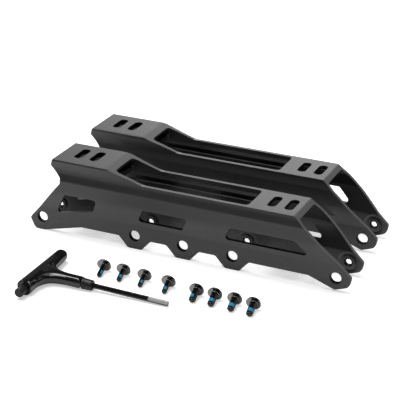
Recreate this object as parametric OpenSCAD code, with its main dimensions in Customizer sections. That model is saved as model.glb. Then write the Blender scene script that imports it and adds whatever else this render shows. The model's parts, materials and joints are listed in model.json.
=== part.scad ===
// A pair of one-piece inline skate frames with their mounting bolts and T wrench,
// laid out on a floor. Each frame is a bulged channel with a raised heel deck and a
// lower toe deck. X runs from heel to toe, Z is up, and the floor is at Z = 0.
// The origin is the middle of the set's footprint.

/* [Frame length] */
// Distance from the heel axle to the toe axle
wheelbase = 243; // [230:1:260]
// Distance between the two inner axle holes
inner_pitch = 81; // [76:1:86]
// How far the heel tip stands out behind the heel axle
heel_reach = 11.1; // [10:0.1:14]
// How far the toe tip stands out ahead of the toe axle
toe_reach = 11.7; // [10:0.1:14]

/* [Frame section] */
// Clear width between the axle rings, where a wheel and its bearings sit
axle_gap = 24; // [22:0.5:27]
// Thickness of the side walls
wall = 3; // [2.4:0.1:4]
// Thickness of the toe deck
web = 3; // [2.4:0.1:4]
// Thickness of the heel deck
heel_web = 4; // [3:0.1:5]
// Height where the upright axle band ends and the wall leans out
band_top = 20.5; // [18:0.5:22]
// Height where the upright belly of the wall starts
belly_low_z = 35; // [33:0.1:38]
// Height where the upright belly ends and the wall leans in
belly_high_z = 47; // [45:0.1:49]
// How far the belly stands out past the axle band
belly_out = 4.4; // [3:0.1:6]
// How far the waist under the heel deck stands out past the axle band
waist_out = 1.2; // [0.5:0.1:3]
// How far the waist lies above the toe deck
waist_rise = 0.6; // [0:0.1:2]
// How far the edge of the heel deck stands out past the axle band
brim_out = 4; // [1:0.1:5]
// Radius of the bend under the belly
belly_low_r = 28; // [14:1:32]
// Radius of the bend over the belly
belly_high_r = 4; // [2:0.5:6]
// Radius of the bend at the waist
waist_r = 14; // [6:0.5:16]
// Radius of the bend over the axle band
bend_r = 6; // [3:0.5:10]
// Radius along the edges of the heel deck
brim_r = 1.8; // [0.8:0.1:2.4]
// Radius of the inner corners under the decks
fillet_r = 2; // [1:0.1:2.6]

/* [Decks] */
// Height of the toe deck
toe_deck_z = 54.4; // [52:0.1:57]
// Height of the heel deck
heel_deck_z = 63.8; // [62:0.1:68]
// Distance from the toe axle back to the front edge of the toe deck
toe_setback = 32.3; // [28:0.1:38]
// Length of the toe deck
toe_deck_len = 36.8; // [34:0.1:42]
// Distance from the heel axle to the rear edge of the heel deck
heel_setback = 13.3; // [10:0.1:18]
// Length of the heel deck up to its crest
heel_deck_len = 44.7; // [38:0.1:48]
// Length along X of the slope between the two deck heights
slope_len = 31.4; // [28:0.1:40]
// Distance from the crest to the start of the opening between the decks
crest_to_opening = 7.2; // [5:0.1:12]
// Thickness left in the wall tops beside that opening
opening_wall = 2.2; // [1.8:0.1:3]
// Corner radius of that opening
opening_r = 3.4; // [2:0.1:5]
// Rounding of the side outline at the crest and at the foot of the slope
crest_r = 12; // [5:1:20]

/* [Mounting slots] */
// Width of the heel slots
heel_slot_w = 7; // [5:0.1:8]
// Length of the heel slots across the deck
heel_slot_len = 18.4; // [12:0.1:20]
// Distance from the rear edge of the heel deck to the first heel slot
heel_slot_in = 16.2; // [14:0.1:18]
// Width of the toe slots
toe_slot_w = 7; // [5:0.1:8]
// Length of the toe slots across the deck
toe_slot_len = 18.4; // [12:0.1:20]
// Distance from the front edge of the toe deck to the first toe slot
toe_slot_in = 8.2; // [7:0.1:10]
// Distance between the two slots of a deck
slot_pitch = 13.4; // [12:0.1:15]
// Room round a bolt head under the heel slots, where the lower web is cut away
head_room = 1; // [0.5:0.1:2]

/* [Axle holes] */
// Height of the axle line above the floor
axle_z = 10.9; // [9:0.1:12]
// Diameter of the clear hole in the near wall
clear_d = 8.2; // [7.6:0.1:9.4]
// Core diameter of the threaded hole in the far wall
thread_d = 5.2; // [5:0.1:7]
// Outer diameter of the ring that a bearing seats against
ring_d = 10.6; // [10.4:0.1:12]
// Outer diameter of the dished recess milled round that ring
recess_d = 17; // [15:0.1:19]
// Depth of that recess
recess = 1; // [0.3:0.1:1.2]
// Width of the recess's sloping edge
recess_slope = 2.2; // [0.5:0.1:2.4]
// Chamfer at the outer mouth of a clear hole
clear_mouth = 0.6; // [0.2:0.1:0.8]
// Chamfer at the inner mouth of a threaded hole
thread_mouth = 0.7; // [0.3:0.1:1]

/* [Lower edge] */
// Height of the edge between the axle bosses
scallop_z = 8.7; // [7:0.1:10]
// Width of the flat under a middle boss
boss_flat = 11.4; // [9:0.1:13]
// Width of a middle boss where it meets the edge between the bosses
boss_foot = 27.2; // [24:0.1:30]
// How far the flat under the heel boss reaches behind the heel axle
heel_flat_back = 7.1; // [5:0.1:8]
// How far that flat reaches ahead of the heel axle
heel_flat_ahead = 1; // [0:0.1:3]
// Height of the lowest corner of the toe boss
toe_foot_z = 1.3; // [0:0.1:2]
// How far that corner lies behind the toe axle
toe_foot_in = 0.4; // [0:0.1:3]
// Length of the ramp from the heel boss to the edge
heel_ramp = 34; // [28:0.5:40]
// Length of the ramp from the toe boss to the edge
toe_ramp = 20.5; // [16:0.5:26]
// Rounding of the corners along the lower edge
edge_r = 2.6; // [1:0.1:4]

/* [Ends] */
// Height of the corner at the heel tip
heel_tip_z = 8.8; // [7:0.1:11]
// Depth along X of the notch in the heel end, from the rear of the heel deck
notch_in = 6.3; // [4:0.1:8]
// Height of the lower corner of that notch
notch_low_z = 44.7; // [43:0.1:47]
// Height of the upper corner of that notch
notch_high_z = 48.8; // [48:0.1:51]
// Height of the overhang at the rear of the heel deck
overhang_z = 57.8; // [55:0.1:60]
// How far it overhangs
overhang = 2.2; // [0.5:0.1:4]
// Height of the corner at the toe tip
toe_tip_z = 12.4; // [11:0.1:15]
// Height of the corner under the toe tip
toe_corner_z = 5.2; // [3:0.1:6]
// How far that corner lies behind the toe tip
toe_lean = 1.3; // [0:0.1:2]
// Height of the bend in the sloping front edge
toe_bend_z = 42.6; // [38:0.1:46]
// How far that bend stands out from a straight edge
toe_bend_out = 0.9; // [0:0.1:2.5]
// Rounding of the corners at the rear of the heel deck
rear_r = 1.2; // [0.6:0.1:2]
// Rounding of the other corners of the two ends
end_r = 2.4; // [1:0.1:3]
// Rounding under the heel and toe tips
tip_r = 5; // [3:0.5:6]

/* [Windows] */
// Height of the lower edge of the windows
window_low_z = 24.4; // [23:0.1:27]
// Height of the upper edge of the windows
window_high_z = 35.8; // [33:0.1:38]
// Length of the middle window along its lower edge
window_len = 37.4; // [30:0.1:42]
// How far the middle window's upper edge is shifted towards the toe
window_lean = 5.7; // [2:0.1:8]
// Distance from the middle axle to the front end of the middle window's lower edge
window_ahead = 0.6; // [-3:0.1:4]
// Distance from the middle axle to the rear end of the toe window's lower edge
toe_window_start = 34.6; // [30:0.1:38]
// Distance from the toe axle back to the front end of the toe window's lower edge
toe_window_end = 19.1; // [17:0.1:26]
// Slant along X of the toe window's front end
toe_window_slant = 11.6; // [8:0.1:14]
// Distance from the heel axle to the rear end of the heel window's lower edge
heel_window_start = 12.1; // [11.5:0.1:16]
// Length of the heel window along its lower edge
heel_window_len = 33.5; // [26:0.1:36]
// How far the heel window's lower rear corner lies below the other windows' lower edge
heel_window_drop = 7.4; // [3:0.1:8]
// How far its lower front corner lies below that edge
heel_window_sink = 0.9; // [0:0.1:2]
// Slant along X of the heel window's rear end
heel_window_slant = 11.2; // [8:0.1:13]
// Corner radius of the windows
window_r = 2.2; // [1:0.1:3]

/* [Bolts] */
// Diameter of a bolt head
head_d = 11; // [10:0.1:12.5]
// Thickness of a bolt head at its rim
rim_h = 0.6; // [0.4:0.1:1.2]
// Full height of a bolt head
head_h = 2.4; // [2.2:0.1:3.4]
// Diameter of the flat top of a bolt head
crown_d = 6.4; // [5.8:0.1:8]
// Depth of the hex socket
socket_h = 1.7; // [1.2:0.1:1.9]
// Shank diameter of the slim bolts
slim_d = 3.8; // [3:0.1:4.5]
// Shank length of the slim bolts
slim_len = 11.4; // [10:0.1:16]
// Shank diameter of the thick bolts
thick_d = 5; // [4.6:0.1:6]
// Shank length of the thick bolts
thick_len = 11.5; // [10:0.1:16]
// Chamfer at a bolt's tip
tip_chamfer = 0.9; // [0.3:0.1:1.1]
// Length of the thread-lock patch
patch_len = 3.6; // [3:0.1:5]
// Thickness of the thread-lock patch
patch_h = 0.2; // [0.1:0.05:0.3]
// Distance from the patch to the bolt's tip
patch_from_tip = 1.9; // [1.2:0.1:5]
// Part of a slim shank's turn that the patch covers, in degrees
slim_patch_turn = 85; // [60:5:200]
// Part of a thick shank's turn that the patch covers, in degrees
thick_patch_turn = 150; // [60:5:200]

/* [Wrench] */
// Width across the flats of the hex shaft
hex_af = 3.3; // [3:0.1:4]
// Clearance between the hex shaft and a bolt's socket
hex_play = 0.1; // [0.05:0.01:0.2]
// Distance from the handle's axis to the shaft's tip
shaft_reach = 101.3; // [90:0.1:115]
// How deep the shaft sits in the handle, from the neck's end
shaft_seat = 24; // [18:0.5:28]
// Diameter of the handle bar at its near end
bar_d = 11.2; // [10.5:0.1:13]
// Diameter of the handle bar's rounded far end
bar_end_d = 9.4; // [8:0.1:10]
// Length of the near arm of the handle
near_arm = 25.4; // [22:0.1:28]
// Length of the far arm of the handle
far_arm = 34.4; // [32:0.1:42]
// Length of the neck, from the handle's axis to the collar
neck_len = 33.9; // [32:0.1:40]
// Diameter of the neck at the collar
neck_d = 9; // [8:0.1:9.6]
// Height of the web that fills the corners between the bar and the neck
gusset_h = 9.6; // [8:0.1:10]
// Distance from the handle's axis to where its hollow corners start
gusset_start = 2.8; // [1:0.1:4]
// Radius of the hollow corners between the bar and the neck
gusset_r = 14; // [10:0.5:15]
// Diameter of the collar on the shaft
collar_d = 8.2; // [7:0.1:8.8]
// Length of the collar
collar_len = 8.1; // [6:0.1:10]
// Diameter of the bearing pusher at the handle's near end
pusher_d = 6.8; // [6:0.1:7.6]
// How far the bearing pusher stands out
pusher_len = 8; // [6:0.1:10]
// How deep the bearing pusher sits in the handle
pusher_seat = 8; // [6:0.5:10]

/* [Layout] */
// Place of the far frame along X, from the near frame
far_x = -3.4; // [-20:0.1:20]
// Place of the far frame along Y, from the near frame
far_y = 68.5; // [60:0.1:90]
// Turn of the bolts about Z in degrees
bolt_yaw = 7; // [-15:1:15]
// Place of the wrench handle's middle along X, from the middle of the near frame
wrench_x = -78.4; // [-90:0.1:-70]
// Place of the wrench handle's middle along Y, from the middle of the near frame
wrench_y = -88.8; // [-95:0.1:-83]
// Turn of the wrench about Z in degrees
wrench_yaw = 1.8; // [-10:0.1:10]

/* [Hidden] */
$fn = 64;
// Depth that a cut reaches past the faces it opens
past = 1;
// Largest turn of one step along a rounded corner, in degrees
arc_step = 10;
// Longest step along a rounded corner
arc_chord = 2.2;

// Colours
black_anodised = [0.16, 0.16, 0.17];
black_oxide = [0.08, 0.08, 0.09];
lock_blue = [0.10, 0.45, 0.66];
black_plastic = [0.12, 0.12, 0.13];
steel = [0.55, 0.55, 0.56];

// Half widths of the section
band_half = axle_gap / 2 + wall;
belly_half = band_half + belly_out;
waist_half = band_half + waist_out;
brim_half = band_half + brim_out;
widest_half = max(belly_half, brim_half);
waist_z = toe_deck_z + waist_rise;
section_half = [[0, band_half], [band_top, band_half], [belly_low_z, belly_half],
                [belly_high_z, belly_half], [waist_z, waist_half], [heel_deck_z, brim_half]];
function outer_half(z) = lookup(z, section_half);
function inner_half(z) = outer_half(z) - wall;

// Places along X, from the middle axle
heel_x = -wheelbase / 2;
toe_x = wheelbase / 2;
axles = [heel_x, -inner_pitch / 2, 0, inner_pitch / 2, toe_x];
bosses = [axles[3], axles[2], axles[1]];
heel_tip_x = heel_x - heel_reach;
toe_tip_x = toe_x + toe_reach;
toe_foot_x = toe_x - toe_foot_in;
rear_x = heel_x + heel_setback;
crest_x = rear_x + heel_deck_len;
foot_x = crest_x + slope_len;
front_x = toe_x - toe_setback;
toe_bend_x = lookup(toe_bend_z, [[toe_tip_z, toe_tip_x], [toe_deck_z, front_x]]) + toe_bend_out;
heel_ramp_x = heel_x + heel_flat_ahead;
opening_x = [crest_x + crest_to_opening, front_x - toe_deck_len];
heel_slots = [rear_x + heel_slot_in, rear_x + heel_slot_in + slot_pitch];
toe_slots = [front_x - toe_slot_in, front_x - toe_slot_in - slot_pitch];
notch_x = rear_x + notch_in;
boss_end = boss_flat / 2;
under_deck_z = toe_deck_z - web;
under_heel_z = heel_deck_z - heel_web;
access_x = heel_slots[1] + head_d / 2 + head_room;

// Bolts and wrench
bolt_r = head_d / 2;
slim_r = slim_d / 2;
thick_r = thick_d / 2;
function bolt_dip(r, len) = atan((bolt_r - r) / (len - tip_chamfer));
bar_r = bar_d / 2;
neck_r = neck_d / 2;
wrench_dip = min(asin((bar_r - neck_r) / neck_len), asin((bar_r - hex_af / 2) / shaft_reach));

// Middle of the set's footprint
set_low = [min(heel_tip_x, heel_tip_x + far_x),
           wrench_y - (near_arm + pusher_len) * cos(wrench_yaw) - pusher_d / 2 * sin(wrench_yaw)];
set_high = [max(toe_tip_x, toe_tip_x + far_x), far_y + widest_half];
set_mid = (set_low + set_high) / 2;

// Corner rounding: each point is [x, y, radius]
function along(a, b) = (b - a) / norm(b - a);
function arc(p, u, v, r) =
    let (turn = 180 - acos(max(-1, min(1, u * v))),
         reach = r * tan(turn / 2),
         steps = max(1, ceil(turn / arc_step), ceil(r * turn * PI / 180 / arc_chord)),
         middle = p + along([0, 0], u + v) * r / cos(turn / 2),
         from = p + u * reach - middle,
         side = sign(u.x * v.y - u.y * v.x))
    [for (i = [0:steps])
        let (a = -side * turn * i / steps)
        middle + [from.x * cos(a) - from.y * sin(a), from.x * sin(a) + from.y * cos(a)]];
function flat(p) = [p.x, p.y];
function rounded(points) =
    [for (i = [0:len(points) - 1])
        let (n = len(points),
             p = flat(points[i]),
             u = along(p, flat(points[(i + n - 1) % n])),
             v = along(p, flat(points[(i + 1) % n])))
        each (points[i].z > 0 ? arc(p, u, v, points[i].z) : [p])];
function both_sides(half) =
    concat(half, [for (i = [len(half) - 1:-1:0]) [-half[i].x, half[i].y, half[i].z]]);

// Extrusions along X and across Y
module along_x(from, to) {
    translate([from, 0, 0]) rotate([90, 0, 90]) linear_extrude(to - from) children();
}
module across_y(from, to) {
    translate([0, to, 0]) rotate([90, 0, 0]) linear_extrude(to - from) children();
}
module rod_y(x, z, r, from, to, far_r) {
    translate([x, from, z]) rotate([-90, 0, 0]) cylinder(h = to - from, r1 = r, r2 = far_r);
}
module slot(x, width, length, low, high) {
    reach = (length - width) / 2;
    for (y = [-reach, reach]) translate([x, y, low]) cylinder(h = high - low, d = width);
    translate([x - width / 2, -reach, low]) cube([width, 2 * reach, high - low]);
}

// The frame, with its middle axle at X = 0 and its middle plane at Y = 0
module frame_section() {
    polygon(rounded(both_sides([
        [band_half, 0, 0], [band_half, band_top, bend_r],
        [belly_half, belly_low_z, belly_low_r], [belly_half, belly_high_z, belly_high_r],
        [waist_half, waist_z, waist_r], [brim_half, heel_deck_z, brim_r]])));
}
module bay_section() {
    polygon(rounded(both_sides([
        [band_half - wall, -past, 0], [band_half - wall, band_top, bend_r],
        [belly_half - wall, belly_low_z, belly_low_r - wall],
        [belly_half - wall, belly_high_z, belly_high_r - wall],
        [inner_half(under_deck_z), under_deck_z, fillet_r]])));
}
module heel_hollow_section() {
    polygon(rounded(both_sides([
        [inner_half(toe_deck_z), toe_deck_z, fillet_r],
        [inner_half(under_heel_z), under_heel_z, fillet_r]])));
}
module side_outline() {
    heel = [
        [heel_x - heel_flat_back, 0, tip_r], [heel_tip_x, heel_tip_z, end_r],
        [notch_x, notch_low_z, end_r], [notch_x, notch_high_z, end_r],
        [rear_x - overhang, overhang_z, rear_r], [rear_x, heel_deck_z, rear_r]];
    decks = [
        [crest_x, heel_deck_z, crest_r], [foot_x, toe_deck_z, crest_r],
        [front_x, toe_deck_z, end_r]];
    toe = [
        [toe_bend_x, toe_bend_z, crest_r], [toe_tip_x, toe_tip_z, end_r],
        [toe_tip_x - toe_lean, toe_corner_z, tip_r], [toe_foot_x, toe_foot_z, edge_r],
        [toe_foot_x - toe_ramp, scallop_z, edge_r]];
    lower_edge = [for (x = bosses) each [
        [x + boss_foot / 2, scallop_z, edge_r], [x + boss_end, 0, edge_r],
        [x - boss_end, 0, edge_r], [x - boss_foot / 2, scallop_z, edge_r]]];
    heel_edge = [
        [heel_ramp_x + heel_ramp, scallop_z, edge_r], [heel_ramp_x, 0, edge_r]];
    polygon(rounded(concat(heel, decks, toe, lower_edge, heel_edge)));
}
module window_outlines() {
    slant = window_lean;
    middle_end = window_ahead;
    middle_start = middle_end - window_len;
    polygon(rounded([
        [middle_start, window_low_z, window_r], [middle_end, window_low_z, window_r],
        [middle_end + slant, window_high_z, window_r],
        [middle_start + slant, window_high_z, window_r]]));
    toe_start = toe_window_start;
    toe_end = toe_x - toe_window_end;
    polygon(rounded([
        [toe_start, window_low_z, window_r], [toe_end, window_low_z, window_r],
        [toe_end - toe_window_slant, window_high_z, window_r],
        [toe_start + slant, window_high_z, window_r]]));
    heel_start = heel_x + heel_window_start;
    heel_end = heel_start + heel_window_len;
    polygon(rounded([
        [heel_start, window_low_z - heel_window_drop, window_r],
        [heel_end, window_low_z - heel_window_sink, window_r],
        [heel_end + slant, window_high_z, window_r],
        [heel_start + heel_window_slant, window_high_z, window_r]]));
}
// An opening in the webs, from wall top to wall top
module web_opening(from, to, low, high) {
    half = outer_half(toe_deck_z) - opening_wall;
    translate([0, 0, low]) linear_extrude(high - low) polygon(rounded([
        [from, -half, opening_r], [to, -half, opening_r],
        [to, half, opening_r], [from, half, opening_r]]));
}
module axle_cuts() {
    outside = band_half + past;
    inside = axle_gap / 2;
    clear_r = clear_d / 2;
    thread_r = thread_d / 2;
    recess_r = recess_d / 2;
    recess_floor_r = recess_r - recess_slope;
    for (x = axles) {
        rod_y(x, axle_z, clear_r, -outside, 0, clear_r);
        rod_y(x, axle_z, thread_r, 0, outside, thread_r);
        rod_y(x, axle_z, clear_r + clear_mouth, -band_half, clear_mouth - band_half, clear_r);
        rod_y(x, axle_z, thread_r + thread_mouth, inside, inside + thread_mouth, thread_r);
        difference() {
            union() {
                rod_y(x, axle_z, recess_floor_r, -inside - recess, -inside, recess_r);
                rod_y(x, axle_z, recess_r, -inside, inside, recess_r);
                rod_y(x, axle_z, recess_r, inside, inside + recess, recess_floor_r);
            }
            rod_y(x, axle_z, ring_d / 2, -outside, outside, ring_d / 2);
        }
    }
}
module slot_cuts() {
    for (x = toe_slots) slot(x, toe_slot_w, toe_slot_len, under_deck_z - past, toe_deck_z + past);
    for (x = heel_slots) slot(x, heel_slot_w, heel_slot_len, under_heel_z - past, heel_deck_z + past);
}
module frame() {
    wide = widest_half + past;
    difference() {
        intersection() {
            along_x(heel_tip_x - past, toe_tip_x + past) frame_section();
            across_y(-wide, wide) side_outline();
        }
        along_x(heel_tip_x - 2 * past, toe_tip_x + 2 * past) bay_section();
        along_x(heel_tip_x - 2 * past, foot_x) heel_hollow_section();
        across_y(-wide, wide) window_outlines();
        web_opening(opening_x[0], opening_x[1], under_deck_z - past, heel_deck_z + past);
        web_opening(heel_x, access_x, under_deck_z - past, toe_deck_z + fillet_r);
        axle_cuts();
        slot_cuts();
    }
}
module near_frame() color(black_anodised) set_out() frame();
module far_frame() color(black_anodised) set_out() translate([far_x, far_y, 0]) frame();

// Loose pieces, each laid on the floor
module set_out() translate([-set_mid.x, -set_mid.y, 0]) children();
// Where each bolt's head came to lie, from the middle of the near frame
slim_spots = [[-43.5, -58.1], [-27.2, -58.2], [-9.4, -59.3], [10.8, -60.7]];
thick_spots = [[34.5, -63.7], [48.9, -63.8], [64.4, -64.3], [79, -65]];
// A bolt's own frame: its head's seat at the origin, its shank along -Y
module lay_bolt(spot, r, len) {
    dip = bolt_dip(r, len);
    set_out() translate([spot.x, spot.y, bolt_r * cos(dip)]) rotate([0, 0, bolt_yaw])
        rotate([dip, 0, 0]) children();
}
module bolt(r, len) {
    hex_r = (hex_af + hex_play) / 2 / cos(30);
    difference() {
        union() {
            rod_y(0, 0, bolt_r, 0, rim_h, bolt_r);
            rod_y(0, 0, bolt_r, rim_h, head_h, crown_d / 2);
            rod_y(0, 0, r, tip_chamfer - len, rim_h, r);
            rod_y(0, 0, r - tip_chamfer, -len, tip_chamfer - len, r);
        }
        translate([0, head_h - socket_h, 0]) rotate([-90, 0, 0])
            cylinder(h = socket_h + past, r = hex_r, $fn = 6);
    }
}
module patch(r, len, turned, turn) {
    translate([0, patch_from_tip - len, 0]) rotate([-90, turned, 0])
        rotate_extrude(angle = turn) translate([r, 0]) square([patch_h, patch_len]);
}
// Each bolt lies with its patch turned another way
slim_turns = [-79, -104, -99, -121];
thick_turns = [160, -162, -155, -147];
module slim_bolt(i) color(black_oxide)
    lay_bolt(slim_spots[i], slim_r, slim_len) bolt(slim_r, slim_len);
module thick_bolt(i) color(black_oxide)
    lay_bolt(thick_spots[i], thick_r, thick_len) bolt(thick_r, thick_len);
module slim_patch(i) color(lock_blue)
    lay_bolt(slim_spots[i], slim_r, slim_len) patch(slim_r, slim_len, slim_turns[i], slim_patch_turn);
module thick_patch(i) color(lock_blue)
    lay_bolt(thick_spots[i], thick_r, thick_len) patch(thick_r, thick_len, thick_turns[i], thick_patch_turn);

// The wrench's own frame: the handle's axis along Y, the shaft along +X
module lay_wrench() {
    set_out() translate([wrench_x, wrench_y, bar_r]) rotate([0, wrench_dip, wrench_yaw]) children();
}
module rod_x(r, from, to, far_r, sides = 0) {
    translate([from, 0, 0]) rotate([0, 90, 0])
        cylinder(h = to - from, r1 = r, r2 = far_r, $fn = sides == 0 ? $fn : sides);
}
module hex_x(from, to) {
    rotate([30, 0, 0]) rod_x(hex_af / 2 / cos(30), from, to, hex_af / 2 / cos(30), 6);
}
module gusset() {
    corner = neck_r + gusset_r;
    linear_extrude(gusset_h, center = true) difference() {
        translate([0, -corner]) square([gusset_start + gusset_r, 2 * corner]);
        for (y = [-corner, corner]) translate([gusset_start + gusset_r, y]) circle(gusset_r);
    }
}
module wrench_handle() {
    bar_end_r = bar_end_d / 2;
    color(black_plastic) lay_wrench() difference() {
        union() {
            rod_y(0, 0, bar_r, -near_arm, far_arm - bar_end_r, bar_end_r);
            translate([0, far_arm - bar_end_r, 0]) sphere(bar_end_r);
            gusset();
            rod_x(neck_r, 0, neck_len, neck_r);
        }
        hex_x(neck_len - shaft_seat, neck_len + past);
        rod_y(0, 0, pusher_d / 2, -near_arm - past, pusher_seat - near_arm, pusher_d / 2);
    }
}
module wrench_shaft() color(steel) lay_wrench() hex_x(neck_len - shaft_seat, shaft_reach);
module shaft_collar() color(black_plastic) lay_wrench() difference() {
    rod_x(collar_d / 2, neck_len, neck_len + collar_len, collar_d / 2);
    hex_x(neck_len - past, neck_len + collar_len + past);
}
module bearing_pusher() color(black_plastic) lay_wrench()
    rod_y(0, 0, pusher_d / 2, -near_arm - pusher_len, pusher_seat - near_arm, pusher_d / 2);

near_frame();
far_frame();
slim_bolt(0);  // slim_bolt_1
slim_bolt(1);  // slim_bolt_2
slim_bolt(2);  // slim_bolt_3
slim_bolt(3);  // slim_bolt_4
thick_bolt(0);  // thick_bolt_1
thick_bolt(1);  // thick_bolt_2
thick_bolt(2);  // thick_bolt_3
thick_bolt(3);  // thick_bolt_4
slim_patch(0);  // slim_patch_1
slim_patch(1);  // slim_patch_2
slim_patch(2);  // slim_patch_3
slim_patch(3);  // slim_patch_4
thick_patch(0);  // thick_patch_1
thick_patch(1);  // thick_patch_2
thick_patch(2);  // thick_patch_3
thick_patch(3);  // thick_patch_4
wrench_handle();
wrench_shaft();
shaft_collar();
bearing_pusher();
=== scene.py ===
"""A pair of black anodised inline skate frames with their mounting bolts and T wrench.

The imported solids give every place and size. This script eases the frames' edges, adds their wall
steps and axle threads, cuts real threads on the bolts, moulds the wrench handle and gives each
piece its finish. Lengths are in millimetres until they are multiplied by MM, and the stage is in
metres.
"""

import json
import math

import bmesh
import bpy
from mathutils import Matrix, Vector


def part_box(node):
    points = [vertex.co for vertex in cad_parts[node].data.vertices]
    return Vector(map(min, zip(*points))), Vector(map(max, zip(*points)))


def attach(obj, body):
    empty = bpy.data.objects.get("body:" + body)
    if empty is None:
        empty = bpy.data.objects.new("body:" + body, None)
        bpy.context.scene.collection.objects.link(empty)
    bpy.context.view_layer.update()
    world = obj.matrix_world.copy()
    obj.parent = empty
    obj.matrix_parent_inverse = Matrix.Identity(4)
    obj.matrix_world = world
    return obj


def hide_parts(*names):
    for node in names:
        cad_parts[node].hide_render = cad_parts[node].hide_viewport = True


MM = 0.001
TURN = 2 * math.pi
AROUND = 48

# Camera, aimed from the middle of the near frame
IMAGE = 400
SENSOR = 36.0
FOCAL_PX = 1362.34
AZIMUTH = math.radians(25.03)
ELEVATION = math.radians(24.6)
AIM = Vector((-14.68, 47.59, 20.0))
RANGE = 1073.99

# Frames, from the middle of each one's foot
SAME_POINT = 0.001
SAME_FLAT = math.radians(0.5)
EDGE_EASE, EASE_STEPS = 0.3, 2
CREASE = math.radians(15)
OPENING_X = (-56.3, 52.4)
WALL_TOP_FROM = 14.0
BAY_HALF = 11.9
WINDOW_REACH = 108.0
WINDOW_Z = (21.0, 38.0)
SLOTS_X = ((-96.5, -74.0), (63.0, 85.5))
SLOT_HALF = 9.5
SLOT_FROM_Z = 50.0
INNER_TOP_Z = 51.4
# Painted shade at the heel: the inside of the walls is painted darker towards the heel end from
# here, over this length
HEEL_SHADE_X, HEEL_SHADE_FADE = -65.0, 15.0
STEP_X = (-70.0, 66.0)
STEP_PROFILE = ((16.6, 43.6), (15.9, 43.1), (15.7, 38.4), (16.6, 37.4))
AXLE_X = (-121.5, -40.5, 0.0, 40.5, 121.5)
AXLE_Z = 10.9
AXLE_CORE, AXLE_RIDGE, AXLE_PITCH = 2.6, 0.3, 0.75
AXLE_THREAD = (12.7, 14.9)
AXLE_COIL_STEPS, AXLE_RIDGE_SIDES = 32, 6
HOLE_MOUTH_R = 5.0

# Parts of a face's normal that tell tops, inner walls, overhangs and cut faces apart
TOP_NORMAL_Z = 0.8
BAY_NORMAL_Y = 0.3
OVERHANG_NORMAL_Z = -0.2
HOLE_NORMAL_Y = 0.9
CUT_NORMAL = 0.5

# Marks for the inside of the walls, which is smoother and painted darker as shade: painted shade
# only at the heel below, full above, and half where they lean over
INSIDE_LOW, INSIDE_BEND, INSIDE_HIGH = 0.5, 0.75, 1.0

# Bolts, each in its own frame: seat at the origin, shank along -Y
BOLT_YAW = math.radians(7)
HEAD_R, RIM_H, HEAD_H, CROWN_R = 5.5, 0.6, 2.4, 3.2
RIM_ROUND, RIM_ANGLES, DOME_STEPS = 0.14, (1.57, 1.0, 0.5), 6
SOCKET_FLAT, SOCKET_H, SOCKET_MOUTH = 1.7, 1.7, 1.25
TIP_CHAMFER, TIP_TAPER = 0.9, 0.7
KINDS = {
    "slim": {"radius": 1.9, "length": 11.4, "turns": 16, "depth": 0.4,
             "patch": math.radians(80)},
    "thick": {"radius": 2.5, "length": 11.5, "turns": 14, "depth": 0.45,
              "patch": math.radians(130)},
}
BOLTS_OF_A_KIND = 4
ROWS_PER_TURN = 6
THREAD_FLANK, THREAD_ROOT = 1.5, 0.2
THREAD_REACH = 0.3
PATCH_FROM_TIP, PATCH_LEN = 1.9, 3.6
PATCH_COAT = 0.12
PATCH_POINTS = (29, 37)
PATCH_SINKS = 2.0
PATCH_FILL = 0.45
PATCH_SEED_STEP = 3.7
RAG_SCALE, RAG_EDGE, RAG_SIZE, RAG_LOSS = 6.0, 9.0, 2.4, 1.5

# Wrench, in its own frame: bar along Y, shaft along +X
WRENCH_PLACE = Vector((-78.4, -88.8, 5.6))
WRENCH_YAW = math.radians(1.8)
BAR_R, BAR_END_R = 5.6, 4.7
NEAR_ARM, FAR_ARM = 25.4, 34.4
NECK_R, NECK_LEN = 4.5, 33.9
TOP_CORNER, FOOT_CORNER, MOULD_FILLET = 3.8, 5.2, 24.0
NECK_DROP = 1.6
MOULD_SKIN = 3.0
MOULD_GRID = (126, 186, 38)
MOULD_LOW, MOULD_HIGH = (-1.2, -1.1, -1.2), (1.06, 1.06, 1.2)
RINGED_END_HALF = 1.6
COLLAR_R, COLLAR_LEN = 4.1, 8.1
SHAFT_FLAT, SHAFT_REACH, SHAFT_SEAT = 1.65, 101.3, 24.0
BARE_TIP = 15.3
PUSHER_R, PUSHER_LEN, PUSHER_SEAT = 3.4, 8.0, 8.0
WRENCH_DIP = math.asin((BAR_R - NECK_R) / NECK_LEN)

# Stage, in metres
FLOOR_HALF = 12.0
FLOOR_GLOW, GLOW_FROM, GLOW_RISE = 0.45, 0.35, 1.2
FLOOR_IN_GLOSS = 0.1
ROOM_LIGHT = 0.25
SCREEN_SIDES, SCREEN_R = 96, 2.4
RISE_AT_SIDES, RISE_SWING = 0.5, 1.2
CLOTH_R, CLOTH_NEARER, CLOTH_LIFT = 2.3, 1.9, 0.001
SCREEN_LOW, SCREEN_RISE = 0.1, 1.5
BROW_LOW, BROW_RISE = 1.5, 0.1
ROOF_R, ROOF_H = 1.2, 2.6
LAMPS = (
    ("key", (-0.5, 0.15, 1.6), 0.6, 0.6, 13.0),
    ("near", (-0.1, -0.5, 1.6), 1.0, 0.7, 10.5),
    ("top", (0.1, 0.5, 1.9), 1.4, 1.4, 3.0),
    ("back", (-0.34, 1.8, 0.62), 1.2, 0.7, 7.0),
)


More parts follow.
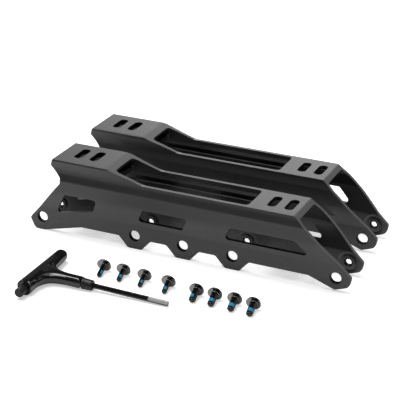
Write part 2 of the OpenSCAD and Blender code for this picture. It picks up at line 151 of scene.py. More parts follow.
class Wire:
    """An output socket that takes part in sums: each operator adds a Math node."""

    def __init__(self, board, socket):
        self.board, self.socket = board, socket

    def out(self, key):
        return Wire(self.board, self.socket.node.outputs[key])

    def math(self, operation, *values):
        return self.board.sum(operation, self, *values)

    def __add__(self, other):
        return self.math("ADD", other)

    __radd__ = __add__

    def __sub__(self, other):
        return self.math("SUBTRACT", other)

    def __rsub__(self, other):
        return self.board.sum("SUBTRACT", other, self)

    def __mul__(self, other):
        return self.math("MULTIPLY", other)

    __rmul__ = __mul__

    def __truediv__(self, other):
        return self.math("DIVIDE", other)

    def __abs__(self):
        return self.math("ABSOLUTE")

    def at_least(self, low):
        return self.math("MAXIMUM", low)

    def at_most(self, high):
        return self.math("MINIMUM", high)

    def share(self):
        return self.at_least(0.0).at_most(1.0)


class Board:
    """A node tree that is being wired, for a shader or for geometry."""

    def __init__(self, tree):
        self.tree = tree

    def add(self, kind, settings=None, sockets=None, output=0):
        node = self.tree.nodes.new(kind)
        for name, value in (settings or {}).items():
            setattr(node, name, value)
        for key, value in (sockets or {}).items():
            for item in value if isinstance(value, list) else [value]:
                if isinstance(item, Wire):
                    self.tree.links.new(item.socket, node.inputs[key])
                else:
                    node.inputs[key].default_value = item
        return Wire(self, node.outputs[output]) if node.outputs else node

    def sum(self, operation, *values):
        return self.add("ShaderNodeMath", {"operation": operation}, dict(enumerate(values)))

    def mix(self, factor, first, second):
        return self.add("ShaderNodeMix", {"data_type": "RGBA"}, {0: factor, 6: first, 7: second}, 2)

    def split(self, vector):
        return self.add("ShaderNodeSeparateXYZ", {}, {0: vector})

    def join(self, x, y, z):
        return self.add("ShaderNodeCombineXYZ", {}, {0: x, 1: y, 2: z})

    def vector(self, operation, first, second, output="Vector"):
        return self.add("ShaderNodeVectorMath", {"operation": operation},
                        {0: first, 1: second}, output)

    def mark(self, name):
        return self.add("ShaderNodeAttribute", {"attribute_name": name}, output="Fac")

    def noise(self, place, scale, detail=2.0, stretch=(1.0, 1.0, 1.0)):
        spread = self.add("ShaderNodeMapping", {}, {"Vector": place, "Scale": stretch})
        return self.add("ShaderNodeTexNoise", {}, {
            "Vector": spread, "Scale": scale, "Detail": detail})

    def bump(self, height, strength, depth):
        return self.add("ShaderNodeBump", {}, {
            "Strength": strength, "Distance": depth * MM, "Height": height})


def grey(value):
    return (value, value, value, 1.0)


class Finish(Board):
    """A material with one Principled shader, whose sockets are set by name."""

    def __init__(self, name, **even):
        self.material = bpy.data.materials.new(name)
        self.material.use_nodes = True
        super().__init__(self.material.node_tree)
        self.skin = self.tree.nodes["Principled BSDF"]
        for socket, value in even.items():
            self.skin.inputs[socket.replace("_", " ")].default_value = value
        self.place = self.add("ShaderNodeTexCoord", output="Object")

    def feed(self, **varying):
        for socket, wire in varying.items():
            self.tree.links.new(wire.socket, self.skin.inputs[socket.replace("_", " ")])
        return self.material

    def height_of_normal(self):
        return self.split(self.add("ShaderNodeNewGeometry", output="Normal")).out("Z")


# Finishes


def black_anodised():
    """Satin black anodising over an extrusion: die lines along X, mottled dye, bright milled tops.

    The narrow cut faces inside the axle holes, slots and windows get the darkest, dull colour as
    painted shade. The inside of the walls is smoother, and painted darker as shade under the decks
    and at the heel.
    """
    f = Finish("black anodised aluminium", IOR=1.75)
    die_lines = f.noise(f.place, 1.0, 3.0, (25.0, 1400.0, 1400.0))
    mottle = f.noise(f.place, 55.0, 4.0)
    grain = f.noise(f.place, 2600.0, 2.0)
    drawn = f.noise(f.place, 1.0, 2.0, (3.0, 330.0, 330.0))
    milled, cut, inner = f.mark("milled"), f.mark("cut"), f.mark("inner")
    along = f.split(f.place).out("X") / MM
    # Painted shade: a darker, dull metal colour on the inside of the walls under the decks, more
    # towards the heel, and on the cut faces of holes, slots and windows
    heel_shade = ((HEEL_SHADE_X - along) / HEEL_SHADE_FADE).share()
    inside_shade = ((1.0 + heel_shade) * inner / INSIDE_LOW - 1.0).share()
    painted_shade = cut.at_least(inside_shade)
    dye = f.mix(mottle, (0.005, 0.005, 0.0056, 1.0), (0.01, 0.01, 0.011, 1.0))
    # The colour of the painted shade, darkest on the cut faces
    dark = f.mix(cut, grey(0.045), grey(0.012))
    return f.feed(
        Base_Color=f.mix(painted_shade, f.mix(milled * 0.8, dye, grey(0.06)), dark),
        Metallic=painted_shade,
        Roughness=0.36 + 0.14 * die_lines + 0.08 * grain - 0.1 * milled - 0.16 * inner,
        Normal=f.bump(grain * 0.5 + die_lines + drawn * 3.0, 0.12, 0.02),
    )


def black_oxide():
    """Black plating on steel: polished on the head, with a duller and darker film in the thread."""
    f = Finish("black plated steel", Metallic=1.0)
    film = f.noise(f.place, 420.0, 4.0)
    speck = f.noise(f.place, 3000.0, 2.0)
    thread = f.mark("thread")
    head = f.mix(film, grey(0.19), grey(0.28))
    return f.feed(
        Base_Color=f.mix(thread, head, f.mix(film, grey(0.03), grey(0.06))),
        Roughness=0.06 + 0.1 * film + 0.12 * thread,
        Normal=f.bump(speck, 0.05, 0.02),
    )


def lock_coating():
    """Dry blue thread-lock, chalky and uneven in thickness."""
    f = Finish("blue lock coating")
    cloud = f.noise(f.place, 900.0, 4.0)
    return f.feed(
        Base_Color=f.mix(cloud, (0.006, 0.16, 0.36, 1.0), (0.02, 0.36, 0.62, 1.0)),
        Roughness=0.4 + 0.3 * cloud,
        Normal=f.bump(cloud, 0.3, 0.05),
    )


def moulded_black():
    """Black moulding: glossy sides, and a dull finely textured upper face."""
    f = Finish("moulded black plastic", Specular_IOR_Level=0.0, Coat_Roughness=0.12, Coat_IOR=1.55)
    upward = ((f.height_of_normal() - 0.88) * 12.0).share()
    pebble = f.noise(f.place, 2200.0, 2.0)
    flow = f.noise(f.place, 130.0, 3.0)
    return f.feed(
        Base_Color=f.mix(flow, grey(0.006), grey(0.01)),
        Roughness=0.5 + 0.2 * flow,
        Coat_Weight=1.0 - 0.85 * upward,
        Normal=f.bump(pebble * upward, 0.25, 0.03),
    )


def satin_black():
    """Satin black plastic with a fine pebbled skin."""
    f = Finish("satin black plastic", IOR=1.38)
    pebble = f.noise(f.place, 1800.0, 2.0)
    cloud = f.noise(f.place, 200.0, 3.0)
    return f.feed(
        Base_Color=f.mix(cloud, grey(0.008), grey(0.016)),
        Roughness=0.34 + 0.1 * cloud,
        Normal=f.bump(pebble, 0.2, 0.03),
    )


def tool_steel(tip, along):
    """Black shaft, ground bare near its tip, its end; the bare steel shows only on the flats that
    face up, a painted highlight. along is its direction.
    """
    f = Finish("tool steel", Metallic=1.0)
    reach = f.vector("DOT_PRODUCT", f.vector("SUBTRACT", f.place, tip), along, "Value")
    # Painted highlight: the flats that face up take the bare steel colour, and those that face down
    # stay black
    upper = (f.height_of_normal() * 8.0).share()
    bare_and_lit = ((reach / MM + BARE_TIP) * 4.0).share() * upper
    ground = f.noise(f.place, 1.0, 3.0, (300.0, 3000.0, 3000.0))
    black = f.mix(ground, grey(0.08), grey(0.15))
    steel = f.mix(ground, grey(0.6), grey(0.8))
    return f.feed(
        Base_Color=f.mix(bare_and_lit, black, steel),
        Roughness=0.2 + 0.16 * ground + 0.25 * bare_and_lit,
        Normal=f.bump(ground, 0.1, 0.02),
    )


# Mesh making


def link(name, mesh):
    piece = bpy.data.objects.new(name, mesh)
    bpy.context.scene.collection.objects.link(piece)
    return piece


def mesh_from(name, work):
    mesh = bpy.data.meshes.new(name)
    work.to_mesh(mesh)
    work.free()
    return mesh


def swap_mesh(piece, mesh):
    rough = piece.data
    piece.data = mesh
    bpy.data.meshes.remove(rough)
    mesh.name = piece.name


def soften(mesh):
    mesh.polygons.foreach_set("use_smooth", [True] * len(mesh.polygons))
    mesh.set_sharp_from_angle(angle=CREASE)


def dress(mesh, finish):
    mesh.materials.clear()
    mesh.materials.append(finish)


def plain(piece):
    """Replace a piece's mesh and modifiers by the mesh that they make."""
    graph = bpy.context.evaluated_depsgraph_get()
    made = bpy.data.meshes.new_from_object(
        piece.evaluated_get(graph), preserve_all_data_layers=True, depsgraph=graph)
    piece.modifiers.clear()
    swap_mesh(piece, made)
    return piece


def stretch_skin(work, rings):
    """Add a closed skin over rings of points that all have the same count."""
    rows = [[work.verts.new(point) for point in ring] for ring in rings]
    for near, far in zip(rows, rows[1:]):
        for i in range(len(near)):
            j = (i + 1) % len(near)
            work.faces.new((near[i], near[j], far[j], far[i]))
    work.faces.new(list(reversed(rows[0])))
    work.faces.new(rows[-1])


def turned_ring(radius, height, axis):
    """A ring round Y or X at that height; radius may be a number or a function of the angle."""
    points = []
    for i in range(AROUND):
        angle = TURN * i / AROUND
        r = radius(angle) if callable(radius) else radius
        across, up = r * math.cos(angle) * MM, r * math.sin(angle) * MM
        points.append((across, height * MM, up) if axis == "Y" else (height * MM, across, up))
    return points


def turned(profile, start, axis):
    """The rings of a turned piece: profile is pairs of radius and height above start."""
    return [turned_ring(r, h + start, axis) for r, h in profile]


def skin_of(name, rings):
    work = bmesh.new()
    stretch_skin(work, rings)
    bmesh.ops.recalc_face_normals(work, faces=work.faces)
    return mesh_from(name, work)


def hexagon(flat):
    """The radius of a hexagon at an angle, from half its width across the flats."""
    sixth = math.pi / 3
    return lambda angle: flat / math.cos((angle % sixth) - sixth / 2)


# Geometry node trees


def new_tree(name, sizes):
    tree = bpy.data.node_groups.new(name, "GeometryNodeTree")
    tree.is_modifier = True
    tree.interface.new_socket("Geometry", in_out="INPUT", socket_type="NodeSocketGeometry")
    for size, kind in sizes.items():
        tree.interface.new_socket(size, in_out="INPUT", socket_type="NodeSocket" + kind)
    tree.interface.new_socket("Geometry", in_out="OUTPUT", socket_type="NodeSocketGeometry")
    board = Board(tree)
    return board, board.add("NodeGroupInput")


def close_tree(board, shape, material):
    whole = board.add("GeometryNodeRealizeInstances", {}, {"Geometry": shape})
    dressed = board.add("GeometryNodeSetMaterial", {}, {"Geometry": whole, "Material": material})
    board.add("NodeGroupOutput", {}, {"Geometry": dressed})
    return board.tree


def apply_tree(piece, tree, values):
    modifier = piece.modifiers.new(tree.name, "NODES")
    modifier.node_group = tree
    for item in tree.interface.items_tree:
        if item.in_out == "INPUT" and item.name in values:
            modifier[item.identifier] = values[item.name]


def spots_of(board):
    return board.split(board.add("GeometryNodeInputPosition"))


def unit_sheet(board, columns, rows):
    return board.add("GeometryNodeMeshGrid", {}, {
        "Size X": 1.0, "Size Y": 1.0, "Vertices X": columns, "Vertices Y": rows})


def thread_wave(turn):
    """The height of a thread, 0 at its root and 1 at its crest, from the number of turns."""
    rise = 1.0 - abs(turn.math("FRACT") * 2.0 - 1.0)
    return (rise * THREAD_FLANK - THREAD_ROOT).share()


def on_shank(board, radius, angle, along):
    return board.join(radius * angle.math("COSINE"), 0.0 - along, radius * angle.math("SINE"))


def shank_tree():
    """Adds a threaded shank along -Y to a bolt head."""
    board, sizes = new_tree("threaded shank", {
        "Core radius": "Float", "Thread depth": "Float", "Length": "Float", "Tip chamfer": "Float",
        "Turns": "Int", "Material": "Material"})
    core, depth, length = (sizes.out(n) for n in ("Core radius", "Thread depth", "Length"))
    chamfer, turns = sizes.out("Tip chamfer"), sizes.out("Turns")
    rows = (turns + 1) * ROWS_PER_TURN
    sheet = unit_sheet(board, AROUND + 1, rows + 1)
    spot = spots_of(board)
    share = spot.out("X") + 0.5
    turn = ((spot.out("Y") + 0.5) * rows).math("ROUND") / ROWS_PER_TURN
    along = ((turn + share - 1.0) * length / turns).at_least(0.0).at_most(length)
    left = length - along
    fade = (along / chamfer).share() * (left / chamfer).share()
    taper = chamfer * (1.0 - left / chamfer).share()
    radius = core + depth * thread_wave(turn) * fade - taper * TIP_TAPER
    place = on_shank(board, radius, share * TURN, along)
    tube = board.add("GeometryNodeSetPosition", {}, {"Geometry": sheet, "Position": place})
    tip_r = core - chamfer * TIP_TAPER
    caps = []
    for r, y, tilt in ((core, 0.0, -math.pi / 2), (tip_r, 0.0 - length, math.pi / 2)):
        disc = board.add("GeometryNodeMeshCircle", {"fill_type": "NGON"}, {
            "Vertices": AROUND, "Radius": r})
        caps.append(board.add("GeometryNodeTransform", {}, {
            "Geometry": disc, "Translation": board.join(0.0, y, 0.0),
            "Rotation": (tilt, 0.0, 0.0)}))
    shank = board.add("GeometryNodeJoinGeometry", {}, {"Geometry": [tube] + caps})
    shank = board.add("GeometryNodeMergeByDistance", {}, {
        "Geometry": shank, "Distance": 2 * SAME_POINT * MM})
    bolt = board.add("GeometryNodeJoinGeometry", {}, {"Geometry": [sizes.out("Geometry"), shank]})
    return close_tree(board, bolt, sizes.out("Material"))


def patch_tree():
    """A patch of coating that lies in the thread, with a ragged edge that sinks into it."""
    board, sizes = new_tree("lock patch", {
        "Core radius": "Float", "Thread depth": "Float", "Length": "Float", "Turns": "Int",
        "Start": "Float", "Reach": "Float", "Middle": "Float", "Arc": "Float", "Coat": "Float",
        "Seed": "Float", "Material": "Material"})
    sheet = unit_sheet(board, *PATCH_POINTS)
    spot = spots_of(board)
    across, down = spot.out("X"), spot.out("Y")
    angle = sizes.out("Middle") + across * sizes.out("Arc")
    along = sizes.out("Start") + (down + 0.5) * sizes.out("Reach")
    past_zero = 8.0
    turn = along * sizes.out("Turns") / sizes.out("Length") - angle / TURN + past_zero
    rag = board.add("ShaderNodeTexNoise", {"noise_dimensions": "4D"}, {
        "Scale": RAG_SCALE, "W": sizes.out("Seed")})
    from_edge = (0.5 - abs(across)).at_most(0.5 - abs(down))
    inside = (from_edge * RAG_EDGE + rag * RAG_SIZE - RAG_LOSS).share()
    filled = thread_wave(turn) * (1.0 - PATCH_FILL) + PATCH_FILL
    lift = inside * (1.0 + PATCH_SINKS) - PATCH_SINKS
    core, depth, coat = (sizes.out(n) for n in ("Core radius", "Thread depth", "Coat"))
    radius = core + depth * filled + coat * lift
    place = on_shank(board, radius, angle, along)
    shape = board.add("GeometryNodeSetPosition", {}, {"Geometry": sheet, "Position": place})
    return close_tree(board, shape, sizes.out("Material"))


def axle_thread_tree():
    """A cut thread in each axle hole of the far wall, on the points of the modified mesh."""
    board, sizes = new_tree("axle threads", {
        "Core radius": "Float", "Pitch": "Float", "Depth": "Float", "Wire": "Float",
        "Material": "Material"})
    coil = board.add("GeometryNodeCurveSpiral", {}, {
        "Resolution": AXLE_COIL_STEPS, "Rotations": sizes.out("Depth") / sizes.out("Pitch"),
        "Start Radius": sizes.out("Core radius"), "End Radius": sizes.out("Core radius"),
        "Height": sizes.out("Depth")})
    ridge = board.add("GeometryNodeCurvePrimitiveCircle", {"mode": "RADIUS"}, {
        "Resolution": AXLE_RIDGE_SIDES, "Radius": sizes.out("Wire")})
    wound = board.add("GeometryNodeCurveToMesh", {}, {
        "Curve": coil, "Profile Curve": ridge, "Fill Caps": True})
    lying = board.add("GeometryNodeTransform", {}, {
        "Geometry": wound, "Rotation": (-math.pi / 2, 0.0, 0.0)})
    cut = board.add("GeometryNodeInstanceOnPoints", {}, {
        "Points": sizes.out("Geometry"), "Instance": lying})
    return close_tree(board, cut, sizes.out("Material"))


def handle_tree():
    """A T handle moulded in one: a tapered bar and a neck that run together, with rounded edges.

    Each point's distance from the skin is worked out in plan first and then with the height, and
    the skin is drawn where it is zero.
    """
    board, sizes = new_tree("moulded handle", {
        "Near arm": "Float", "Far arm": "Float", "Bar radius": "Float", "End radius": "Float",
        "Neck radius": "Float", "Neck length": "Float", "Top corner": "Float",
        "Foot corner": "Float", "Fillet": "Float", "Material": "Material"})
    near, far = sizes.out("Near arm"), sizes.out("Far arm")
    thick, thin = sizes.out("Bar radius"), sizes.out("End radius")
    neck_r, neck_len = sizes.out("Neck radius"), sizes.out("Neck length")
    spot = spots_of(board)
    x, y, z = spot.out("X"), spot.out("Y"), spot.out("Z")

    half = thick + (thin - thick) * ((y + near) / (near + far)).share()
    past_end = y - y.at_most(far - thin)
    bar = ((x * x + past_end * past_end).math("SQRT") - half).at_least(0.0 - near - y)
    neck = (abs(y) - neck_r).at_least(0.0 - x).at_least(x - neck_len)
    plan = bar.math("SMOOTH_MIN", neck, sizes.out("Fillet") * (x / thick).share())

    above = z.math("GREATER_THAN", 0.0)
    corner = sizes.out("Top corner") * above + sizes.out("Foot corner") * (1.0 - above)
    height = half + (neck_r - half) * (x / neck_len * NECK_DROP).share()
    side, up = plan + corner, abs(z) - height + corner
    out = (side.at_least(0.0).math("POWER", 2.0) + up.at_least(0.0).math("POWER", 2.0)).math("SQRT")
    depth = out + side.at_least(up).at_most(0.0) - corner
    low, high = MOULD_LOW, MOULD_HIGH
    block = board.add("GeometryNodeVolumeCube", {}, {
        "Density": (0.5 - depth / (MOULD_SKIN * MM)).share(),
        "Min": board.join(low[0] * thick, low[1] * near, low[2] * thick),
        "Max": board.join(high[0] * neck_len, high[1] * far, high[2] * thick),
        "Resolution X": MOULD_GRID[0], "Resolution Y": MOULD_GRID[1],
        "Resolution Z": MOULD_GRID[2]})
    skin = board.add("GeometryNodeVolumeToMesh", {}, {"Volume": block, "Threshold": 0.5})
    return close_tree(board, skin, sizes.out("Material"))


# Pieces


def is_milled(spot, normal):
    """Whether a face is one of the wall tops beside the opening."""
    beside = OPENING_X[0] < spot.x < OPENING_X[1] and abs(spot.y) > WALL_TOP_FROM
    return beside and normal.z > TOP_NORMAL_Z


def is_cut(spot, normal):
    """Whether a face lies in the thickness of the metal, in an axle hole, a window or a slot."""
    if abs(spot.y) > BAY_HALF and abs(normal.y) < HOLE_NORMAL_Y:
        if any(math.hypot(spot.x - x, spot.z - AXLE_Z) < HOLE_MOUTH_R for x in AXLE_X):
            return True
        in_window = abs(spot.x) < WINDOW_REACH and WINDOW_Z[0] < spot.z < WINDOW_Z[1]
        if in_window and abs(normal.y) < CUT_NORMAL:
            return True
    in_slot = spot.z > SLOT_FROM_Z and abs(spot.y) < SLOT_HALF
    in_slot = in_slot and any(start < spot.x < end for start, end in SLOTS_X)
    return in_slot and abs(normal.z) < CUT_NORMAL


def inside_shade_mark(spot, normal):
    """How far a face takes the painted shade of the inside of the walls, 0 for all other faces."""
    faces_bay = spot.y * normal.y < 0.0 and abs(normal.y) > BAY_NORMAL_Y
    if not faces_bay or spot.z >= INNER_TOP_Z:
        return 0.0
    if spot.z < WINDOW_Z[1]:
        return INSIDE_LOW
    return INSIDE_BEND if normal.z < OVERHANG_NORMAL_Z else INSIDE_HIGH


def dress_frame(node, middle, finish):
    """The CAD frame with eased edges, its milled, cut and inner faces marked for the finish."""
    work = bmesh.new()
    work.from_mesh(frame["nodes"][node].data)
    bmesh.ops.remove_doubles(work, verts=work.verts, dist=SAME_POINT * MM)
    bmesh.ops.dissolve_limit(work, angle_limit=SAME_FLAT, verts=work.verts, edges=work.edges)
    mesh = mesh_from(node + "_eased", work)
    soften(mesh)
    dress(mesh, finish)
    piece = link(node + "_eased", mesh)
    ease = piece.modifiers.new("eased edges", "BEVEL")
    ease.width = EDGE_EASE * MM
    ease.segments = EASE_STEPS
    ease.limit_method = "ANGLE"
    ease.angle_limit = CREASE
    even = piece.modifiers.new("even shading", "WEIGHTED_NORMAL")
    even.keep_sharp = True
    plain(piece)
    # These marks set the milled tops' colour, and the painted shade of the cut faces and of the
    # inside of the walls
    for name, test in (("milled", is_milled), ("cut", is_cut), ("inner", inside_shade_mark)):
        faces = piece.data.polygons
        values = [float(test((face.center - middle) / MM, face.normal)) for face in faces]
        piece.data.attributes.new(name, "FLOAT", "FACE").data.foreach_set("value", values)
    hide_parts(node)
    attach(piece, node)


def step_walls(node, middle, finish):
    """The shallow step that the die leaves along the inside of both walls, under the opening."""
    work = bmesh.new()
    for side in (-1.0, 1.0):
        rings = [[middle + Vector((x, side * y, z)) * MM for y, z in STEP_PROFILE] for x in STEP_X]
        stretch_skin(work, rings)
    bmesh.ops.recalc_face_normals(work, faces=work.faces)
    mesh = mesh_from(node + "_wall_steps", work)
    dress(mesh, finish)
    # The steps carry the mark of the lower inside walls, so they take the painted shade at the heel
    inner = mesh.attributes.new("inner", "FLOAT", "FACE")
    inner.data.foreach_set("value", [INSIDE_LOW] * len(mesh.polygons))
    piece = link(node + "_wall_steps", mesh)
    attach(piece, node)


def cut_axle_threads(node, middle, finish):
    mesh = bpy.data.meshes.new(node + "_axle_threads")
    start = middle + Vector((0, AXLE_THREAD[0], AXLE_Z)) * MM
    mesh.from_pydata([start + Vector((x, 0, 0)) * MM for x in AXLE_X], [], [])
    piece = link(node + "_axle_threads", mesh)
    apply_tree(piece, axle_thread_tree(), {
        "Core radius": AXLE_CORE * MM, "Pitch": AXLE_PITCH * MM, "Material": finish,
        "Depth": (AXLE_THREAD[1] - AXLE_THREAD[0]) * MM, "Wire": AXLE_RIDGE * MM})
    plain(piece)
    soften(piece.data)
    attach(piece, node)


def bolt_frame(node, kind):
    """Where a bolt lies: its seat, with the shank along -Y."""
    dip = math.atan((HEAD_R - kind["radius"]) / (kind["length"] - TIP_CHAMFER))
    turn = Matrix.Rotation(BOLT_YAW, 3, "Z") @ Matrix.Rotation(dip, 3, "X")
    own = [turn.transposed() @ v.co for v in frame["nodes"][node].data.vertices]
    middle = [(min(p[i] for p in own) + max(p[i] for p in own)) / 2 for i in (0, 2)]
    seat = Vector((middle[0], max(p.y for p in own) - HEAD_H * MM, middle[1]))
    return Matrix.Translation(turn @ seat) @ turn.to_4x4()


def bolt_head(name, shank_r):
    """A wide low head with a rounded rim, a domed top, a hex socket and a filleted root."""
    rim_r, dome_h = HEAD_R - RIM_ROUND, HEAD_H - RIM_H
    root = [(shank_r * 0.8, -0.6), (shank_r + 0.05, -0.45)]
    root += [(shank_r + 0.2, -0.12), (shank_r + 0.5, 0.0)]
    rim = [(rim_r, 0.0), (HEAD_R, RIM_ROUND)]
    for a in RIM_ANGLES:
        rim.append((rim_r + RIM_ROUND * math.sin(a), RIM_H - RIM_ROUND + RIM_ROUND * math.cos(a)))
    dome = []
    for i in range(1, DOME_STEPS + 1):
        a = math.pi / 2 * i / DOME_STEPS
        dome.append((CROWN_R + (rim_r - CROWN_R) * math.cos(a), RIM_H + dome_h * math.sin(a)))
    socket, mouth, bottom = hexagon(SOCKET_FLAT), SOCKET_FLAT * SOCKET_MOUTH, HEAD_H - SOCKET_H
    hollow = [(mouth + 0.12, HEAD_H), (mouth, HEAD_H - 0.06), (socket, HEAD_H - 0.3)]
    hollow += [(socket, bottom), (SOCKET_FLAT * 0.3, bottom - 0.25)]
    return skin_of(name, turned(root + rim + dome + hollow, 0.0, "Y"))


def lay_bolts(finish, coating):
    shank, patch = shank_tree(), patch_tree()
    for label, kind in KINDS.items():
        core, depth, length = kind["radius"] - kind["depth"], kind["depth"], kind["length"]
        thread = {"Core radius": core * MM, "Thread depth": depth * MM,
                  "Length": length * MM, "Turns": kind["turns"]}
        for number in range(1, BOLTS_OF_A_KIND + 1):
            node, coat_node = f"{label}_bolt_{number}", f"{label}_patch_{number}"
            lie = bolt_frame(node, kind)

            bolt = link(node + "_threaded", bolt_head(node, kind["radius"]))
            apply_tree(bolt, shank, {**thread, "Tip chamfer": TIP_CHAMFER * MM, "Material": finish})
            plain(bolt)
            soften(bolt.data)
            thread_mark = bolt.data.attributes.new("thread", "FLOAT", "FACE")
            thread_r = (kind["radius"] + THREAD_REACH) * MM
            for face, mark in zip(bolt.data.polygons, thread_mark.data):
                mark.value = float(face.center.y < 0.0 and face.center.xz.length < thread_r)
            bolt.data.transform(lie)
            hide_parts(node)
            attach(bolt, node)

            side = [lie.inverted() @ v.co for v in frame["nodes"][coat_node].data.vertices]
            middle = sum(side, Vector()) / len(side)
            coat = link(coat_node + "_coat", bpy.data.meshes.new(coat_node))
            apply_tree(coat, patch, {
                **thread, "Start": (length - PATCH_FROM_TIP - PATCH_LEN) * MM,
                "Reach": PATCH_LEN * MM, "Middle": math.atan2(middle.z, middle.x),
                "Arc": kind["patch"], "Coat": PATCH_COAT * MM,
                "Seed": PATCH_SEED_STEP * number + kind["radius"], "Material": coating})
            shell = coat.modifiers.new("coat thickness", "SOLIDIFY")
            shell.thickness = PATCH_COAT * MM
            shell.offset = -1.0
            plain(coat)
            soften(coat.data)
            coat.data.transform(lie)
            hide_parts(coat_node)
            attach(coat, node)


def mould_handle(name, finish):
    """The moulded handle, with the rings of its near end added to it."""
    piece = link(name, bpy.data.meshes.new(name))
    apply_tree(piece, handle_tree(), {
        "Near arm": NEAR_ARM * MM, "Far arm": FAR_ARM * MM, "Bar radius": BAR_R * MM,
        "End radius": BAR_END_R * MM, "Neck radius": NECK_R * MM, "Neck length": NECK_LEN * MM,
        "Top corner": TOP_CORNER * MM, "Foot corner": FOOT_CORNER * MM, "Fillet": MOULD_FILLET * MM,
        "Material": finish})
    plain(piece)
    rings = [(BAR_R - 0.5, RINGED_END_HALF), (BAR_R, 1.3), (BAR_R, 0.2), (BAR_R - 0.6, 0.0),
             (BAR_R - 0.6, -0.5), (BAR_R - 0.05, -0.6), (BAR_R - 0.05, -1.3),
             (BAR_R - 0.35, -RINGED_END_HALF), (PUSHER_R, -RINGED_END_HALF)]
    work = bmesh.new()
    work.from_mesh(piece.data)
    stretch_skin(work, turned(rings, RINGED_END_HALF - NEAR_ARM, "Y"))
    bmesh.ops.recalc_face_normals(work, faces=work.faces)
    swap_mesh(piece, mesh_from(name, work))
    return piece


def lay_wrench(middle, plastic, satin):
    """The wrench: handle with a ringed near end, bearing pusher, stepped collar and hex shaft."""
    yaw_and_dip = Matrix.Rotation(WRENCH_YAW, 4, "Z") @ Matrix.Rotation(WRENCH_DIP, 4, "Y")
    lie = Matrix.Translation(middle + WRENCH_PLACE * MM) @ yaw_and_dip
    tip, along = lie @ Vector((SHAFT_REACH * MM, 0, 0)), yaw_and_dip @ Vector((1, 0, 0))
    pusher = [(PUSHER_R - 0.5, PUSHER_SEAT), (PUSHER_R, PUSHER_SEAT - 0.5),
              (PUSHER_R, 0.6 - PUSHER_LEN), (PUSHER_R - 0.18, 0.18 - PUSHER_LEN),
              (PUSHER_R - 0.6, -PUSHER_LEN)]
    collar = [(COLLAR_R - 0.5, 0.0), (COLLAR_R - 0.12, 0.1), (COLLAR_R, 0.35), (COLLAR_R, 1.9),
              (COLLAR_R - 0.2, 2.1), (COLLAR_R - 0.2, 2.35), (COLLAR_R - 0.05, 2.55),
              (COLLAR_R - 0.25, COLLAR_LEN - 0.6), (COLLAR_R - 0.55, COLLAR_LEN - 0.12),
              (COLLAR_R - 1.0, COLLAR_LEN)]
    six, seat = hexagon(SHAFT_FLAT), NECK_LEN - SHAFT_SEAT
    shaft = [(lambda a: six(a) - 0.3, seat), (six, seat + 0.4), (six, SHAFT_REACH - 0.35),
             (lambda a: min(six(a), SHAFT_FLAT) - 0.05, SHAFT_REACH)]
    handle = mould_handle("wrench_handle_moulded", plastic)
    made = []
    for node, profile, start, axis, finish, slot in (
            ("bearing_pusher", pusher, -NEAR_ARM, "Y", satin, "collar_plastic"),
            ("shaft_collar", collar, NECK_LEN, "X", satin, "collar_plastic"),
            ("wrench_shaft", shaft, 0.0, "X", tool_steel(tip, along), "shaft_steel")):
        name = node + "_turned"
        made.append((node, link(name, skin_of(name, turned(profile, start, axis))), finish, slot))
    made.append(("wrench_handle", handle, plastic, "handle_plastic"))
    for node, piece, finish, slot in made:
        soften(piece.data)
        dress(piece.data, finish)
        piece.data.transform(lie)
        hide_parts(node)
        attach(piece, "wrench")


# Stage


def seen_directly(board, mirrored=1.0):
    """1 for rays that show the background to the camera, mirrored for those in gloss or glass."""
    path = board.add("ShaderNodeLightPath")
    in_gloss = path.out("Is Glossy Ray") + path.out("Is Transmission Ray")
    return (path.out("Is Camera Ray") + mirrored * in_gloss).share()


def lay_floor():
    """A white floor that keeps the shadows near the set and fades to the background further out."""
    size = FLOOR_HALF
    corners = [(-size, -size, 0), (size, -size, 0), (size, size, 0), (-size, size, 0)]
    mesh = bpy.data.meshes.new("floor")
    mesh.from_pydata(corners, [], [(0, 1, 2, 3)])
    f = Finish("white floor", Base_Color=grey(0.9), Roughness=0.9, Specular_IOR_Level=0.0,
               Emission_Strength=1.0)
    away = f.add("ShaderNodeVectorMath", {"operation": "LENGTH"}, {0: f.place}, "Value")
    glow = f.mix(((away - GLOW_FROM) * GLOW_RISE).share(), grey(FLOOR_GLOW), grey(1.0))
    dress(mesh, f.feed(Emission_Color=f.mix(seen_directly(f, FLOOR_IN_GLOSS), grey(0.0), glow)))
    link("floor", mesh)


def stand_screens():
    """Dark cloths and screens round the set, unseen, for the black faces to mirror.

    They lie on the floor in front, stand high in front and low behind, and hang above the white
    background.
    """
    front = AZIMUTH - math.pi / 2
    foot, edge, rim, brow, roof = [], [], [], [], []
    for i in range(SCREEN_SIDES):
        a = TURN * i / SCREEN_SIDES
        rise = max(0.0, min(1.0, RISE_AT_SIDES + RISE_SWING * math.cos(a - front)))
        way = Vector((math.cos(a), math.sin(a), 0.0))
        for ring, r, height in (
                (foot, CLOTH_R - CLOTH_NEARER * rise, CLOTH_LIFT),
                (edge, SCREEN_R, CLOTH_LIFT),
                (rim, SCREEN_R, SCREEN_LOW + SCREEN_RISE * rise),
                (brow, SCREEN_R, BROW_LOW + BROW_RISE * rise),
                (roof, ROOF_R, ROOF_H)):
            ring.append(way * r + Vector((0, 0, height)))
    work = bmesh.new()
    for lower, upper in ((foot, edge), (edge, rim), (brow, roof)):
        rows = [[work.verts.new(p) for p in ring] for ring in (lower, upper)]
        for i in range(SCREEN_SIDES):
            j = (i + 1) % SCREEN_SIDES
            work.faces.new((rows[0][i], rows[0][j], rows[1][j], rows[1][i]))
    mesh = mesh_from("screens", work)
    f = Finish("dark cloth", Base_Color=grey(0.02), Roughness=1.0, Specular_IOR_Level=0.0)
    dress(mesh, f.material)
    screens = link("screens", mesh)
    screens.visible_camera = False
    screens.visible_diffuse = False
    screens.visible_shadow = False


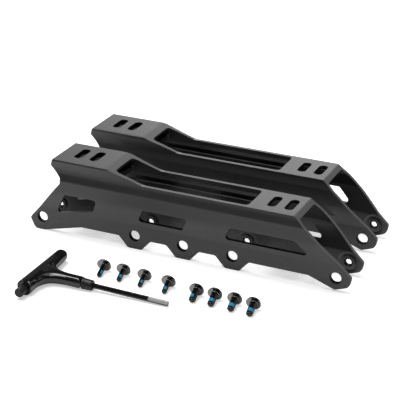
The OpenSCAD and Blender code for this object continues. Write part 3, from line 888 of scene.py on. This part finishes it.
def light_room():
    world = bpy.data.worlds.new("studio")
    bpy.context.scene.world = world
    world.use_nodes = True
    board = Board(world.node_tree)
    sky = world.node_tree.nodes["Background"]
    sky.inputs["Color"].default_value = grey(1.0)
    strength = seen_directly(board) * (1.0 - ROOM_LIGHT) + ROOM_LIGHT
    world.node_tree.links.new(strength.socket, sky.inputs["Strength"])
    for name, place, wide, deep, power in LAMPS:
        lamp = bpy.data.lights.new(name, "AREA")
        lamp.shape = "RECTANGLE"
        lamp.size = wide
        lamp.size_y = deep
        lamp.energy = power
        holder = link(name, lamp)
        holder.location = place
        holder.rotation_mode = "QUATERNION"
        holder.rotation_quaternion = (-Vector(place)).to_track_quat("-Z", "Y")


def place_camera(middle):
    level = math.cos(ELEVATION)
    back = Vector((math.sin(AZIMUTH) * level, -math.cos(AZIMUTH) * level, math.sin(ELEVATION)))
    lens = bpy.data.cameras.new("camera")
    lens.sensor_width = SENSOR
    lens.lens = SENSOR * FOCAL_PX / IMAGE
    camera = link("camera", lens)
    camera.location = middle + (AIM + back * RANGE) * MM
    camera.rotation_mode = "QUATERNION"
    camera.rotation_quaternion = (-back).to_track_quat("-Z", "Y")
    bpy.context.scene.camera = camera


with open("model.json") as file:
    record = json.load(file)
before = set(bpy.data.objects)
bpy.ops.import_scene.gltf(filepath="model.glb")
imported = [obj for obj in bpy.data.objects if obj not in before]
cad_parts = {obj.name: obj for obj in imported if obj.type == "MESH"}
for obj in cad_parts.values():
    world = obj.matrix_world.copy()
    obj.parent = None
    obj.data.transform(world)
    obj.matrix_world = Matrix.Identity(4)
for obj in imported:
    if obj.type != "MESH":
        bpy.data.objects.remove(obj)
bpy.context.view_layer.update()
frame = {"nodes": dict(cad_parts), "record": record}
bpy.context.scene.view_settings.view_transform = "Standard"

mounts = {mount["name"]: mount for mount in frame["record"]["mounts"]}
middles = {}
for side in ("near", "far"):
    low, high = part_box(side + "_frame")
    middle_x = mounts[side + "_middle_axle_thread"]["pos_m"][0]
    middles[side] = Vector((middle_x, (low.y + high.y) / 2, 0.0))

anodised = black_anodised()
for side, middle in middles.items():
    dress_frame(side + "_frame", middle, anodised)
    step_walls(side + "_frame", middle, anodised)
    cut_axle_threads(side + "_frame", middle, anodised)
lay_bolts(black_oxide(), lock_coating())
lay_wrench(middles["near"], moulded_black(), satin_black())

lay_floor()
stand_screens()
light_room()
place_camera(middles["near"])
